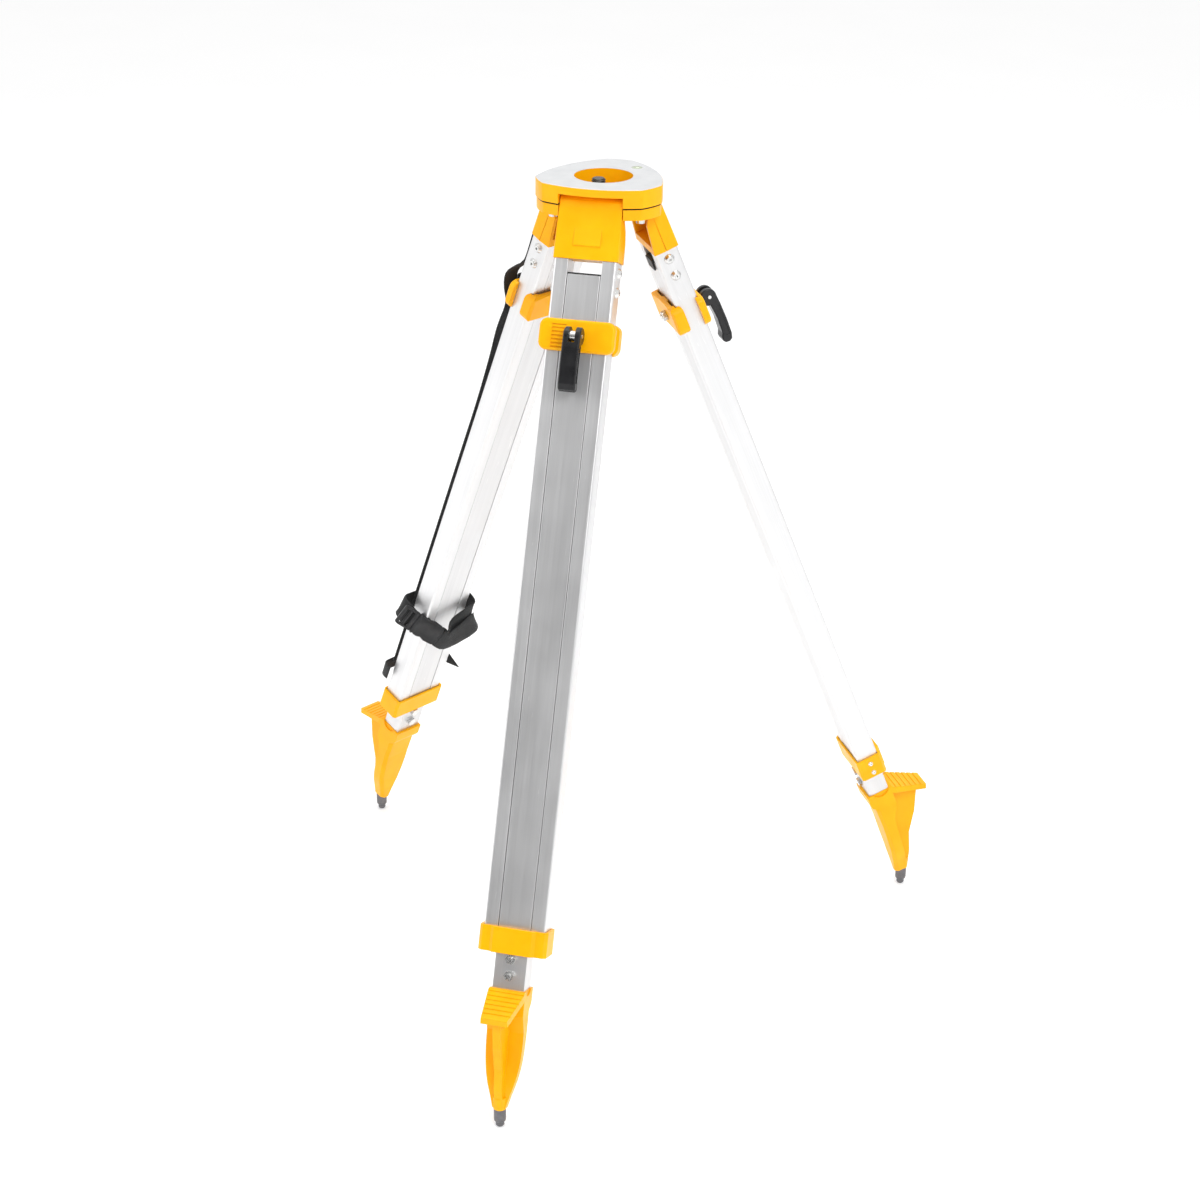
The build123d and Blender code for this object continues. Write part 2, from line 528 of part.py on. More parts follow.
with BuildPart() as foot_bolts:
    for station in FOOT_BOLT_STATIONS:
        through_bore(0, station, BOLT_R, -16.4, REAR_Y - 0.1, Mode.ADD)
        with BuildSketch(Plane.XZ.offset(-(LEG_MID - TUBE_DEPTH / 2))):
            with Locations((0, -station)):
                RegularPolygon(5.77, 6)
                Circle(BOLT_R + 0.02, mode=Mode.SUBTRACT)
        extrude(amount=5.0)
        with BuildSketch(Plane.XZ.offset(-(LEG_MID + TUBE_DEPTH / 2))):
            with Locations((0, -station)):
                RegularPolygon(5.77, 6)
        extrude(amount=-4.4)
keep_on_legs(foot_bolts.part, "foot_bolts")

with BuildPart() as foot_point:
    with BuildSketch(Plane.XZ):
        with BuildLine():
            Polyline((0, -POINT_L), (3.6, -POINT_L), (4.8, -POINT_L + 1.4), (4.9, -POINT_L + 5.5),
                     (6.6, -POINT_L + 7.6), (POINT_R, -POINT_L + 10), (POINT_R, 0), (4.0, 0), (4.0, 11.5),
                     (0, 11.5), close=True)
        make_face()
    revolve(axis=Axis.Z)
keep_on_legs(point_plane.location * foot_point.part, "foot_point")

# Webbing on the left leg: the carrying strap beside the lever, its lower loop and the buckled tie strap.
STRAP_T = 1.4
with BuildPart() as carry_strap:
    path = [(-12.6, 20), (-12.8, 50), (-11.4, 64), (-11.4, 104), (-24.0, 116), (-31.0, 128)]
    path += [(-31.5, 140), (-24.0, 152)]
    path += [(-17.5, 168), (-19.5, 202), (-16.6, 246), (-14.4, 310), (-14.2, 380), (-14.2, 745)]
    edge = path + [(y - STRAP_T, s) for y, s in reversed(path)]
    side_prism(edge, 10.0, start=20.4)
    with BuildSketch(Plane.XY.offset(-748)):
        with BuildLine():
            Polyline((-50, 12), (-50, -10), (-34, -21), (36, -23), (43.0, -16), (43.0, -8), (41.6, -8),
                     (41.6, -15.4), (35.4, -21.6), (-33.4, -19.6), (-48.6, -9.4), (-48.6, 12), close=True)
        make_face()
    extrude(amount=-22)

BUCKLE_A = (22.0, 42.5)
BUCKLE_B = (58.5, -9.0)
with BuildPart() as tie_strap:
    with BuildSketch(Plane.XY.offset(-622)):
        with BuildLine():
            outer = [(20, 41), (-38.5, 36), (-42, -14), (-34, -19), (44, -21), (57.5, -10.5)]
            inner = [(56.2, -9.6), (43.6, -19.6), (-33.4, -17.6), (-40.6, -13.2), (-37.2, 34.6), (19.7, 39.6)]
            Polyline(*outer, *inner, close=True)
        make_face()
    extrude(amount=-31)

chord = math.hypot(BUCKLE_B[0] - BUCKLE_A[0], BUCKLE_B[1] - BUCKLE_A[1])
tilt = math.degrees(math.atan2(BUCKLE_B[1] - BUCKLE_A[1], BUCKLE_B[0] - BUCKLE_A[0]))
centre = ((BUCKLE_A[0] + BUCKLE_B[0]) / 2, (BUCKLE_A[1] + BUCKLE_B[1]) / 2)
with BuildPart() as buckle:
    with Locations(Location((centre[0], centre[1], -641), (0, 0, tilt))):
        Box(chord - 3.0, 7.0, 30.0)
        with Locations((chord / 2 - 10, 0, 0)):
            Box(7, 9, 21, mode=Mode.SUBTRACT)
        for side in (-1, 1):
            with Locations((-8, 0, side * 15.0)):
                Box(9, 9, 5, mode=Mode.SUBTRACT)

for strap_piece, name in ((carry_strap, "carry_strap"), (tie_strap, "tie_strap"), (buckle, "buckle")):
    keep(place(strap_piece.part, LEGS["left"]), name)

print(len(NODES), "nodes")
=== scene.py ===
import math

import bmesh
import bpy
from mathutils import Matrix, Vector


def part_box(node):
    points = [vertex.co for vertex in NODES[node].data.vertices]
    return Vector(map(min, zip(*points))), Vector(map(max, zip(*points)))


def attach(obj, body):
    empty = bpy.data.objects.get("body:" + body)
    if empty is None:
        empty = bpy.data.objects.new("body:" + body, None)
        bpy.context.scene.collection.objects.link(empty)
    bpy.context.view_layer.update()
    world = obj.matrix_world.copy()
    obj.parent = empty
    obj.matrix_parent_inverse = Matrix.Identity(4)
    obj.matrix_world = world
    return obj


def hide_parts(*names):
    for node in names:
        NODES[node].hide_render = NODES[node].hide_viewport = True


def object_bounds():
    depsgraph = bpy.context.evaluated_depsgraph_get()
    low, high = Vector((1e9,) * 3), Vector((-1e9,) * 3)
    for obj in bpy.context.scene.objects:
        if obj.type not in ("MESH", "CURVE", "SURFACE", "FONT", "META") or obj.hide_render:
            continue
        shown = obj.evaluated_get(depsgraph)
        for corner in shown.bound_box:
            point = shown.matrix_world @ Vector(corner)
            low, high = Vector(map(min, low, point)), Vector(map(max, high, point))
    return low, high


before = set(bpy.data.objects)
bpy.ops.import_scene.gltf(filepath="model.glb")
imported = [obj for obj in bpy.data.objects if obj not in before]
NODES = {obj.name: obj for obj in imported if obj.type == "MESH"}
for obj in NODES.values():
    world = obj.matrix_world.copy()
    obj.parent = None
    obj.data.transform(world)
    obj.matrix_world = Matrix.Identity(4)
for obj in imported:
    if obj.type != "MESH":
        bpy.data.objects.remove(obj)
CAD_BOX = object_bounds()
LEGS = {"front": 0.0, "right": 120.0, "left": 240.0}
SPLAY = math.radians(22.6)
HINGE_RADIUS = 0.044
HINGE_DROP = 0.0204
TOP_SKIN = -0.0003       # the machined face of the head is all that lies above this height
JOINT_MID = -0.0207      # middle of the gap between the casting and the hinge ring
GAP_SHADE_FULL = 0.00080     # fully in painted shade this far above and below that middle
GAP_SHADE_END = 0.00105    # and free of painted shade from here on


def leg_matrix(turn):
    """From a leg drawn hanging straight down (X across, -Y outwards) to its place in the row frame."""
    swing = Matrix.Rotation(-SPLAY, 4, "X")
    out = Matrix.Translation((0, -HINGE_RADIUS, -HINGE_DROP))
    return Matrix.Rotation(math.radians(turn), 4, "Z") @ out @ swing


LEFT = leg_matrix(LEGS["left"])


# ---------------------------------------------------------------- materials

class Nodes:
    """Short names for building one material's nodes."""

    def __init__(self, name, **settings):
        self.mat = bpy.data.materials.new(name)
        self.mat.use_nodes = True
        self.tree = self.mat.node_tree
        self.shader = self.tree.nodes["Principled BSDF"]
        for key, value in settings.items():
            self.shader.inputs[key.replace("_", " ")].default_value = value

    def add(self, kind, links=None, **settings):
        node = self.tree.nodes.new(kind)
        for key, value in settings.items():
            setattr(node, key, value)
        for key, value in (links or {}).items():
            if hasattr(value, "is_output"):
                self.tree.links.new(value, node.inputs[key])
            else:
                node.inputs[key].default_value = value
        return node

    def math(self, operation, a, b=0.5, clamp=False):
        return self.add("ShaderNodeMath", {0: a, 1: b}, operation=operation, use_clamp=clamp).outputs[0]

    def mix(self, fac, a, b):
        node = self.add("ShaderNodeMix", data_type="RGBA")
        for socket, value in ((node.inputs[0], fac), (node.inputs[6], a), (node.inputs[7], b)):
            if hasattr(value, "is_output"):
                self.tree.links.new(value, socket)
            else:
                socket.default_value = value
        return node.outputs[2]

    def noise(self, vector, scale, detail=3.0, rough=0.55):
        links = {"Vector": vector, "Scale": scale, "Detail": detail, "Roughness": rough}
        return self.add("ShaderNodeTexNoise", links).outputs[0]

    def ramp(self, value, low, high, a=0.0, b=1.0):
        links = {0: value, 1: low, 2: high, 3: a, 4: b}
        return self.add("ShaderNodeMapRange", links).outputs[0]

    def position(self):
        return self.add("ShaderNodeTexCoord").outputs["Object"]

    def leg_position(self, turn, stretch):
        """Position turned back to a hanging leg, with its length squeezed so that noise runs as streaks."""
        spin = self.add("ShaderNodeMapping", {0: self.position(), 2: (0, 0, -math.radians(turn))})
        hang = self.add("ShaderNodeMapping", {0: spin.outputs[0], 2: (SPLAY, 0, 0)})
        return self.add("ShaderNodeMapping", {0: hang.outputs[0], 3: (1, 1, stretch)}).outputs[0]

    def bump(self, height, distance, strength=1.0, bevel=0.0):
        links = {"Height": height, "Distance": distance, "Strength": strength}
        if bevel:
            links["Normal"] = self.add("ShaderNodeBevel", {"Radius": bevel}, samples=6).outputs[0]
        return self.add("ShaderNodeBump", links).outputs[0]

    def set(self, **values):
        for key, value in values.items():
            self.tree.links.new(value, self.shader.inputs[key.replace("_", " ")])
        return self.mat


YELLOW = (0.98, 0.43, 0.0, 1)
YELLOW_LIGHT = (1.0, 0.49, 0.002, 1)
# painted shade colour for the hollow corners of the enamel
YELLOW_PAINTED_SHADE = (0.78, 0.30, 0.0, 1)
BARE = (0.70, 0.705, 0.71, 1)


def enamel(name, bare_top=False, joint=False):
    """Yellow stoved enamel with a faint orange peel, with painted shade darkening the corners.

    bare_top leaves the head's machined face bare. Either that or joint paints a near-black band of
    painted shade over the gap under the casting.
    """
    m = Nodes(name, Roughness=0.36)
    p = m.position()
    cloud = m.noise(p, 28.0, 4.0)
    peel = m.noise(p, 900.0, 2.0)
    speck = m.ramp(m.noise(p, 1600.0, 1.0), 0.72, 0.76)
    colour = m.mix(m.ramp(cloud, 0.35, 0.7), YELLOW, YELLOW_LIGHT)
    # Painted shade: hollow corners (low pointiness) are mixed towards a darker yellow.
    edge = m.add("ShaderNodeNewGeometry").outputs["Pointiness"]
    colour = m.mix(m.ramp(edge, 0.495, 0.44, 0.0, 0.55), colour, YELLOW_PAINTED_SHADE)
    colour = m.mix(m.math("MULTIPLY", speck, 0.25), colour, (0.45, 0.25, 0.05, 1))
    rough = m.ramp(m.noise(p, 60.0), 0.3, 0.7, 0.30, 0.44)
    height = m.math("ADD", peel, m.math("MULTIPLY", cloud, 0.5))
    if bare_top:
        z = m.add("ShaderNodeSeparateXYZ", {0: p}).outputs[2]
        top = m.math("GREATER_THAN", z, TOP_SKIN)
        radius = m.add("ShaderNodeVectorMath", {0: p}, operation="LENGTH").outputs["Value"]
        lathe = m.noise(m.add("ShaderNodeCombineXYZ", {0: radius}).outputs[0], 2600.0, 2.0)
        metal = m.mix(m.ramp(m.noise(p, 45.0), 0.3, 0.7), BARE, (0.63, 0.64, 0.65, 1))
        metal = m.mix(m.ramp(lathe, 0.3, 0.7, 0.0, 0.18), metal, (0.5, 0.51, 0.52, 1))
        colour = m.mix(top, colour, metal)
        rough = m.math("ADD", rough, m.math("MULTIPLY", top, 0.08))
        height = m.math("ADD", height, m.math("MULTIPLY", m.math("MULTIPLY", top, lathe), 0.8))
        m.set(Metallic=m.math("MULTIPLY", top, 0.55))
    if joint or bare_top:
        # Painted shade: a near-black band over the gap between the casting and the hinge ring.
        level = m.add("ShaderNodeSeparateXYZ", {0: p}).outputs[2]
        offset = m.math("ABSOLUTE", m.math("SUBTRACT", level, JOINT_MID))
        gap_shade = m.ramp(offset, GAP_SHADE_FULL, GAP_SHADE_END, 1.0, 0.0)
        colour = m.mix(gap_shade, colour, (0.008, 0.006, 0.004, 1))
    m.shader.inputs["Specular IOR Level"].default_value = 0.16
    m.shader.inputs["Coat Weight"].default_value = 0.08
    m.shader.inputs["Coat Roughness"].default_value = 0.2
    return m.set(Base_Color=colour, Roughness=rough, Normal=m.bump(height, 0.00006, 0.5, 0.0007))


def anodised(name, turn, tint):
    """Drawn aluminium: long die lines down the leg, soft blotches and a few handling scratches."""
    m = Nodes(name, Metallic=0.82)
    streak = m.noise(m.leg_position(turn, 0.012), 700.0, 3.0, 0.6)
    wide = m.noise(m.leg_position(turn, 0.03), 90.0, 2.0)
    blotch = m.noise(m.position(), 14.0, 3.0)
    scratch = m.ramp(m.noise(m.leg_position(turn, 0.12), 420.0, 1.0), 0.73, 0.77)
    dark = tuple(c * 0.93 for c in tint[:3]) + (1,)
    pale = tuple(min(1.0, c * 1.05) for c in tint[:3]) + (1,)
    colour = m.mix(m.ramp(streak, 0.3, 0.7), dark, tint)
    colour = m.mix(m.ramp(wide, 0.35, 0.65, 0.0, 0.55), colour, pale)
    colour = m.mix(m.math("MULTIPLY", scratch, 0.35), colour, (0.95, 0.95, 0.95, 1))
    rough = m.math("ADD", m.ramp(streak, 0.25, 0.75, 0.30, 0.37), m.ramp(blotch, 0.3, 0.7, 0.0, 0.07))
    m.shader.inputs["Anisotropic"].default_value = 0.45
    return m.set(Base_Color=colour, Roughness=rough, Normal=m.bump(streak, 0.00001, 0.5, 0.0003))


def metal(name, colour, rough, scale=900.0, wear=0.3):
    """Plated or bare steel with fine tumbled marks and painted shade in the hollows."""
    m = Nodes(name, Metallic=1.0)
    p = m.position()
    fine = m.noise(p, scale, 3.0)
    cloud = m.noise(p, 120.0, 3.0)
    dark = tuple(c * 0.55 for c in colour[:3]) + (1,)
    tone = m.mix(m.ramp(cloud, 0.3, 0.7, 0.0, wear), colour, dark)
    # Painted shade: hollows (low pointiness) are mixed towards the dark tone.
    edge = m.add("ShaderNodeNewGeometry").outputs["Pointiness"]
    tone = m.mix(m.ramp(edge, 0.5, 0.42, 0.0, 0.7), tone, dark)
    gloss = m.ramp(fine, 0.3, 0.7, rough - 0.08, rough + 0.1)
    return m.set(Base_Color=tone, Roughness=gloss, Normal=m.bump(fine, 0.00004, 0.5, 0.0003))


def moulded(name, colour, rough, coat=0.0):
    """Moulded plastic or thick black lacquer: fine spark texture, slight scuffing and a painted highlight
    along the sharp edges.
    """
    m = Nodes(name)
    p = m.position()
    spark = m.noise(p, 1300.0, 2.0)
    scuff = m.noise(p, 70.0, 4.0)
    pale = tuple(c * 1.9 + 0.004 for c in colour[:3]) + (1,)
    tone = m.mix(m.ramp(scuff, 0.45, 0.75, 0.0, 0.7), colour, pale)
    # Painted highlight: sharp edges (high pointiness) are mixed towards the paler tone.
    edge = m.add("ShaderNodeNewGeometry").outputs["Pointiness"]
    tone = m.mix(m.ramp(edge, 0.52, 0.6, 0.0, 0.5), tone, pale)
    m.shader.inputs["Specular IOR Level"].default_value = 0.35
    m.shader.inputs["Coat Weight"].default_value = coat
    m.shader.inputs["Coat Roughness"].default_value = 0.12
    gloss = m.ramp(scuff, 0.3, 0.7, rough - 0.05, rough + 0.1)
    return m.set(Base_Color=tone, Roughness=gloss, Normal=m.bump(spark, 0.00005, 0.4, 0.0008))


YARN_LENGTH, YARN_WIDTH, YARN_GAP = 0.0024, 0.00118, 0.00016


def webbing_material(name, colour):
    """Woven tape: staggered warp yarns across the width, fuzzy, a little faded on the crowns, with painted
    shade in the gaps between yarns.
    """
    m = Nodes(name)
    uv = m.add("ShaderNodeUVMap", uv_map="UVMap").outputs[0]
    links = {"Vector": uv, "Scale": 1.0, "Mortar Size": YARN_GAP, "Mortar Smooth": 0.9,
             "Brick Width": YARN_LENGTH, "Row Height": YARN_WIDTH,
             "Color1": (1, 1, 1, 1), "Color2": (0.72, 0.72, 0.72, 1)}
    weave = m.add("ShaderNodeTexBrick", links, offset=0.5)
    yarn = m.math("SUBTRACT", 1.0, weave.outputs["Fac"])
    fibre = m.noise(m.add("ShaderNodeMapping", {0: uv, 3: (0.35, 1.0, 1.0)}).outputs[0], 5200.0, 2.0)
    fade = m.noise(m.position(), 30.0, 3.0)
    pale = tuple(c * 2.1 + 0.01 for c in colour[:3]) + (1,)
    # Painted shade: the gaps between the yarns take this darker tone.
    dark = tuple(c * 0.35 for c in colour[:3]) + (1,)
    tone = m.mix(yarn, dark, m.mix(m.ramp(fade, 0.35, 0.7), colour, pale))
    tone = m.mix(m.ramp(fibre, 0.45, 0.7, 0.0, 0.35), tone, pale)
    m.shader.inputs["Sheen Weight"].default_value = 0.06
    m.shader.inputs["Sheen Roughness"].default_value = 0.5
    height = m.math("ADD", yarn, m.math("MULTIPLY", fibre, 0.35))
    rough = m.ramp(fibre, 0.3, 0.7, 0.62, 0.82)
    return m.set(Base_Color=tone, Roughness=rough, Normal=m.bump(height, 0.00022, 0.8))


VIAL_CENTRE = (0.0266, 0.0434, 0.0)
VIAL_RING_R = 0.0027
VIAL_RING_HALF = 0.0002
VIAL_BUBBLE_R = 0.0021
VIAL_FLUID_R = 0.0054
VIAL_CUP_R = 0.0055


def vial_material():
    """Bull's-eye level seen from above: white cup, pale green fluid, black ring and a bubble."""
    m = Nodes("vial_glass", Roughness=0.12)
    at = m.add("ShaderNodeVectorMath", {0: m.position(), 1: VIAL_CENTRE}, operation="SUBTRACT").outputs[0]
    flat = m.add("ShaderNodeVectorMath", {0: at, 1: (1, 1, 0)}, operation="MULTIPLY").outputs[0]
    r = m.add("ShaderNodeVectorMath", {0: flat}, operation="LENGTH").outputs["Value"]
    off = m.add("ShaderNodeVectorMath", {0: flat, 1: (0.0006, 0.0004, 0)}, operation="SUBTRACT").outputs[0]
    rb = m.add("ShaderNodeVectorMath", {0: off}, operation="LENGTH").outputs["Value"]
    fluid = m.mix(m.ramp(r, 0.0, VIAL_FLUID_R), (0.56, 0.66, 0.36, 1), (0.30, 0.36, 0.22, 1))
    ring = m.math("LESS_THAN", m.math("ABSOLUTE", m.math("SUBTRACT", r, VIAL_RING_R)), VIAL_RING_HALF)
    tone = m.mix(ring, fluid, (0.02, 0.02, 0.02, 1))
    bubble = m.ramp(rb, VIAL_BUBBLE_R, VIAL_BUBBLE_R - 0.0004)
    tone = m.mix(m.math("MULTIPLY", bubble, 0.7), tone, (0.82, 0.88, 0.7, 1))
    cup = m.math("GREATER_THAN", r, VIAL_CUP_R)
    plastic = m.mix(m.noise(m.position(), 400.0), (0.5, 0.51, 0.48, 1), (0.66, 0.66, 0.62, 1))
    tone = m.mix(cup, tone, plastic)
    m.shader.inputs["Coat Weight"].default_value = 0.6
    return m.set(Base_Color=tone, Normal=m.bump(m.noise(m.position(), 500.0), 0.00003, 0.3, 0.0002))


ENAMEL = enamel("yellow_enamel_fine")
ENAMEL_TOP = enamel("yellow_enamel_machined_top", True)
ENAMEL_RING = enamel("yellow_enamel_ring", joint=True)
ZINC = metal("zinc_plate", (0.78, 0.78, 0.77, 1), 0.26)
PIN_STEEL = metal("hinge_pin_steel", (0.55, 0.55, 0.55, 1), 0.3)
SCREW_STEEL = metal("oiled_dark_steel", (0.09, 0.085, 0.08, 1), 0.24, wear=0.5)
POINT_STEEL = metal("point_steel", (0.20, 0.20, 0.21, 1), 0.38, 500.0, 0.6)
BRASS = metal("bush_brass", (0.62, 0.44, 0.18, 1), 0.32)
LACQUER = moulded("black_lacquer", (0.006, 0.006, 0.007, 1), 0.28, 0.2)
CAP = moulded("black_cap_plastic", (0.012, 0.012, 0.013, 1), 0.5)
BUCKLE = moulded("buckle_acetal", (0.022, 0.022, 0.023, 1), 0.42)
WEB = webbing_material("black_webbing", (0.006, 0.0065, 0.007, 1))

PLAIN = {
    "hinge_bracket": ENAMEL, "rail_screws": ZINC, "collar": ENAMEL, "collar_rivets": ZINC, "end_cap": CAP,
    "clamp_front": ENAMEL, "clamp_rear": ENAMEL, "clamp_bolt": ZINC,
    "clamp_lever": LACQUER, "lever_pin": ZINC,
    "foot": ENAMEL, "foot_bolts": ZINC, "foot_point": POINT_STEEL, "head_casting": ENAMEL_TOP,
    "hinge_ring": ENAMEL_RING, "ring_screws": ZINC, "hinge_pins": PIN_STEEL, "level_vial": vial_material(),
    "screw_arm": LACQUER, "screw_bush": BRASS, "fixing_screw": SCREW_STEEL, "screw_knob": LACQUER,
    "carry_strap": WEB, "tie_strap": WEB, "buckle": BUCKLE,
}


def dress(node, material):
    """Give a CAD node its finished material."""
    obj = NODES[node]
    obj.data.materials.clear()
    obj.data.materials.append(material)


for leg, turn in LEGS.items():
    rail_alloy = anodised(f"rail_alloy_{leg}", turn, (0.76, 0.76, 0.765, 1))
    tube_alloy = anodised(f"tube_alloy_{leg}", turn, (0.70, 0.70, 0.705, 1))
    for piece in ("rail_a", "rail_b"):
        dress(f"{piece}_{leg}", rail_alloy)
    dress(f"inner_tube_{leg}", tube_alloy)
for node in NODES:
    base = node.rsplit("_", 1)[0] if node.rsplit("_", 1)[-1] in LEGS else node
    if base in PLAIN:
        dress(node, PLAIN[base])


# ---------------------------------------------------------------- mesh helpers

def new_object(name, bm, material, smooth=True):
    mesh = bpy.data.meshes.new(name)
    bmesh.ops.recalc_face_normals(bm, faces=bm.faces)
    bm.to_mesh(mesh)
    bm.free()
    for poly in mesh.polygons:
        poly.use_smooth = smooth
    obj = bpy.data.objects.new(name, mesh)
    mesh.materials.append(material)
    bpy.context.scene.collection.objects.link(obj)
    return obj


def smooth_line(points, across, step):
    """Catmull-Rom curve through the points, about every step, with the width direction along it."""
    pts = [Vector(p) for p in points]
    wide = [Vector(a).normalized() for a in across]
    ext = [pts[0] * 2 - pts[1]] + pts + [pts[-1] * 2 - pts[-2]]
    out = []
    for i in range(1, len(ext) - 2):
        p0, p1, p2, p3 = ext[i - 1:i + 3]
        count = max(2, int((p2 - p1).length / step))
        for j in range(count):
            t = j / count
            a = (p1 * 2) + (p2 - p0) * t + (p0 * 2 - p1 * 5 + p2 * 4 - p3) * t * t
            place = (a + (p1 * 3 - p0 - p2 * 3 + p3) * t ** 3) * 0.5
            out.append((place, wide[i - 1].lerp(wide[i], t * t * (3 - 2 * t))))
    return out + [(pts[-1], wide[-1])]


def webbing(name, points, across, width, thick, body, step=0.003, mitre=0.0):
    """Flat woven tape along a line in the left leg's own drawing, with rolled edges and metric UVs.

    across is the tape's width direction, one for the whole tape or one for each point.
    mitre slants the cut end by that much for each metre of width.
    """
    if not isinstance(across, list):
        across = [across] * len(points)
    samples = smooth_line(points, across, step)
    line = [place for place, wide in samples]
    bm = bmesh.new()
    uv = bm.loops.layers.uv.new("UVMap")
    half, t = width / 2, thick / 2
    edge, mid = half - t * 0.6, half * 0.5
    cross = [(-edge, -t), (-half, 0.0), (-edge, t), (-mid, t), (0, t), (mid, t),
             (edge, t), (half, 0.0), (edge, -t), (mid, -t), (0, -t), (-mid, -t)]
    rings = []
    run = 0.0
    lengths = []
    for i, (p, wide) in enumerate(samples):
        ahead = line[min(i + 1, len(line) - 1)] - line[max(i - 1, 0)]
        ahead.normalize()
        wide = (wide - ahead * wide.dot(ahead)).normalized()
        thin = ahead.cross(wide)
        slant = mitre * max(0.0, 1.0 - (len(line) - 1 - i) / 6)
        rings.append([bm.verts.new(p + wide * a + thin * b - ahead * a * slant) for a, b in cross])
        run += (p - line[i - 1]).length if i else 0.0
        lengths.append(run)
    count = len(cross)
    for i in range(len(rings) - 1):
        for j in range(count):
            k = (j + 1) % count
            face = bm.faces.new((rings[i][j], rings[i][k], rings[i + 1][k], rings[i + 1][j]))
            spots = ((lengths[i], cross[j][0]), (lengths[i], cross[k][0]),
                     (lengths[i + 1], cross[k][0]), (lengths[i + 1], cross[j][0]))
            for loop, spot in zip(face.loops, spots):
                loop[uv].uv = spot
    for ring in (rings[0], rings[-1]):
        bm.faces.new(ring)
    bm.transform(LEFT)
    obj = new_object(name, bm, WEB)
    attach(obj, body)
    return obj


UPPER = "upper_leg_left"

# ---------------------------------------------------------------- straps on the left leg

MM = 0.001
CARRY_WIDTH = 0.020
TIE_WIDTH = 0.027
TAPE = 0.0014
LOOP_MITRE = 1.1
carry_line = [(20.4, -12.0, -20), (20.4, -12.4, -50), (20.4, -11.6, -70), (20.4, -11.9, -100),
              (20.5, -20.0, -113),
              (20.6, -29.5, -127), (20.6, -31.2, -138), (20.5, -27.0, -150), (20.4, -18.5, -166),
              (20.4, -19.6, -202), (20.3, -16.8, -246), (20.2, -14.9, -310), (20.2, -14.9, -380),
              (20.2, -14.9, -560), (20.2, -14.9, -700), (20.2, -14.9, -744)]
carry = webbing("carry_strap_web", [Vector(p) * MM for p in carry_line], (1, 0, 0), CARRY_WIDTH, TAPE,
                UPPER, 0.006)
loop_line = [(42.2, -6.5, -752), (42.4, -12.5, -752), (39.4, -18.4, -753), (33.0, -21.2, -754),
             (20, -21.6, -754),
             (-10, -21.2, -753), (-32.6, -20.0, -751), (-38.4, -15.0, -749), (-40.0, -4, -746),
             (-41.0, 8, -742),
             (-43.5, 19, -739)]
webbing("carry_strap_loop", [Vector(p) * MM for p in loop_line], (0, 0, 1), CARRY_WIDTH, TAPE,
        UPPER, 0.004, LOOP_MITRE)
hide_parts("carry_strap")

# The buckle lies askew across the corner of the leg, from its webbing end (A) to its ladder end (B).
BUCKLE_MID = Vector((40.25, 16.75, -644.5)) * MM
BUCKLE_LONG = Vector((40.9, -43.0, 24.5)).normalized()
BUCKLE_WIDE = Vector((-15.0, 0.0, 25.0)).normalized()
BUCKLE_HALF = 0.0321
BUCKLE_A = BUCKLE_MID - BUCKLE_LONG * BUCKLE_HALF
BUCKLE_B = BUCKLE_MID + BUCKLE_LONG * BUCKLE_HALF

tie_line = [BUCKLE_A + BUCKLE_LONG * 0.008] + [Vector(p) * MM for p in (
    (12, 39.4, -658), (-6, 34.5, -649), (-29, 31.0, -643), (-40.6, 24.5, -640), (-41.3, 8, -637),
    (-41.4, -9.0, -637),
    (-35.0, -18.3, -637), (0, -19.4, -637), (34, -19.9, -636),
    (48.0, -15.8, -635))] + [BUCKLE_B - BUCKLE_LONG * 0.0185]
upright = Vector((0, 0, 1))
tie_across = [BUCKLE_WIDE, BUCKLE_WIDE, (-0.1, -0.35, 0.9), (0.1, -0.3, 0.95)] + [upright] * 6
tie_across += [BUCKLE_WIDE.lerp(upright, 0.4), BUCKLE_WIDE]
tie = webbing("tie_strap_web", tie_line, tie_across, TIE_WIDTH, TAPE, UPPER, 0.004)
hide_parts("tie_strap")
tail_line = [BUCKLE_A + BUCKLE_LONG * 0.004 + Vector((0, 0.0022, 0))] + [Vector(p) * MM for p in (
    (11, 42.6, -662), (-8, 42.6, -658), (-26, 40.4, -655), (-37, 37.2, -654), (-41.5, 33.5, -653),
    (-42.6, 30, -652))]
tail_across = [BUCKLE_WIDE, BUCKLE_WIDE, (-0.1, -0.25, 0.9), (0.12, -0.42, 0.88), (0.25, -0.48, 0.85),
               (0.25, -0.48, 0.85), (0.25, -0.48, 0.85)]
webbing("tie_strap_tail", tail_line, tail_across, TIE_WIDTH, TAPE, UPPER, 0.003)


def outline_solid(name, outline, thickness, bevel, matrix, material, body):
    """Plate with rounded edges, from an outline in its own X-Y plane."""
    bm = bmesh.new()
    face = bm.faces.new([bm.verts.new((x, y, -thickness / 2)) for x, y in outline])
    bmesh.ops.extrude_face_region(bm, geom=[face])
    bm.verts.ensure_lookup_table()
    for v in bm.verts[len(outline):]:
        v.co.z = thickness / 2
    bmesh.ops.recalc_face_normals(bm, faces=bm.faces)
    bmesh.ops.bevel(bm, geom=list(bm.edges), offset=bevel, segments=3, affect="EDGES", clamp_overlap=True)
    bm.transform(matrix)
    obj = new_object(name, bm, material)
    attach(obj, body)
    return obj


def arc(cx, cy, r, a0, a1, count=6):
    """Points on an arc, angles in degrees."""
    return [(cx + r * math.cos(math.radians(a0 + (a1 - a0) * i / count)),
             cy + r * math.sin(math.radians(a0 + (a1 - a0) * i / count))) for i in range(count + 1)]


